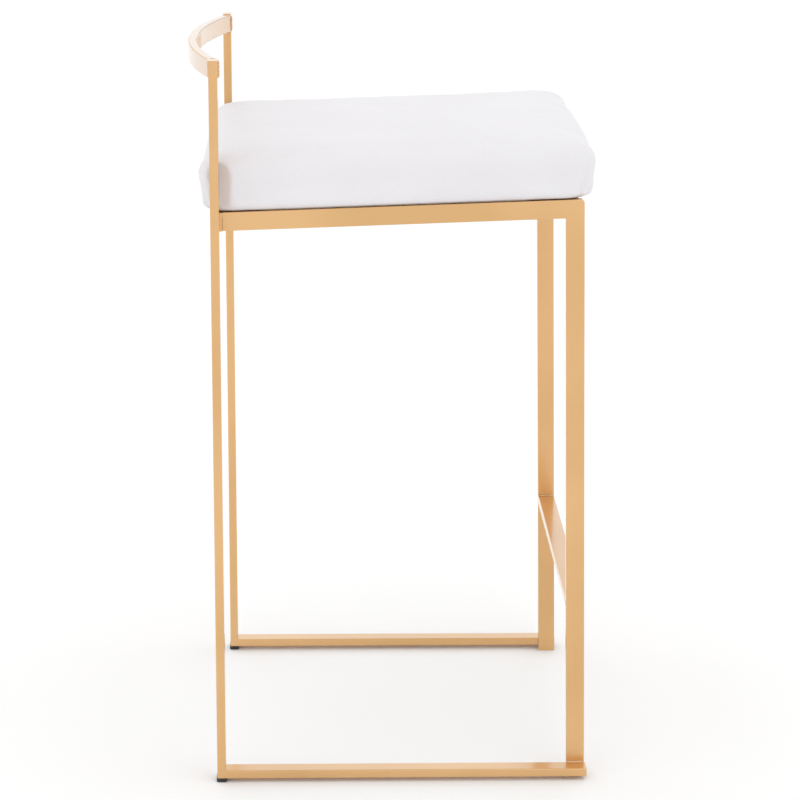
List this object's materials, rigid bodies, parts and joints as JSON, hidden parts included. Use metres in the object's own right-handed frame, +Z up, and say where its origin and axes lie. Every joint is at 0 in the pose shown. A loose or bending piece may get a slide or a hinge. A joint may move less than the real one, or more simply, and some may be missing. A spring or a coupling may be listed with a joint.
{
  "type": "bar stool with footrest",
  "caption": "Counter-height bar stool with slim rectangular-tube side frames, a curved low backrest band, a front footrest bar and an upholstered cushion seat.",
  "frame": {"origin": "on the floor, under the centre of the stool's bounding box", "axes": "+Z up, the sitter faces -Y, +X is the sitter's left"},
  "size_m": [0.43, 0.418, 0.76],
  "materials": {
    "gold_frame": "satin",
    "dark_glide": "matte",
    "clear_plug": "matte",
    "zinc_steel": "satin",
    "plywood": "matte",
    "foam": "matte",
    "white_faux_leather": "satin",
    "black_dust_cloth": "matte"
  },
  "bodies": {
    "root": {"back_leg_left": "gold_frame", "back_leg_right": "gold_frame", "leg_cap_left": "gold_frame", "leg_cap_right": "gold_frame", "bottom_rail_left": "gold_frame", "bottom_rail_right": "gold_frame", "rail_cap_left": "gold_frame", "rail_cap_right": "gold_frame", "front_leg_left": "gold_frame", "front_leg_right": "gold_frame", "seat_rail_left": "gold_frame", "seat_rail_right": "gold_frame", "seat_rail_rear": "gold_frame", "rear_tube_cap_left": "gold_frame", "rear_tube_cap_right": "gold_frame", "seat_rail_front": "gold_frame", "footrest": "gold_frame", "backrest_band": "gold_frame", "corner_plate_front_left": "gold_frame", "corner_plate_front_right": "gold_frame", "corner_plate_rear_left": "gold_frame", "corner_plate_rear_right": "gold_frame", "rear_foot_left": "dark_glide", "rear_foot_right": "dark_glide", "foot_plug_left": "clear_plug", "foot_plug_right": "clear_plug", "seat_screws": "zinc_steel", "seat_washers": "zinc_steel", "tee_nuts": "zinc_steel", "cover_staples": "zinc_steel", "dust_cover_staples": "zinc_steel", "seat_board": "plywood", "seat_foam": "foam", "seat_cover": "white_faux_leather", "dust_cover": "black_dust_cloth"}
  },
  "joints": []
}
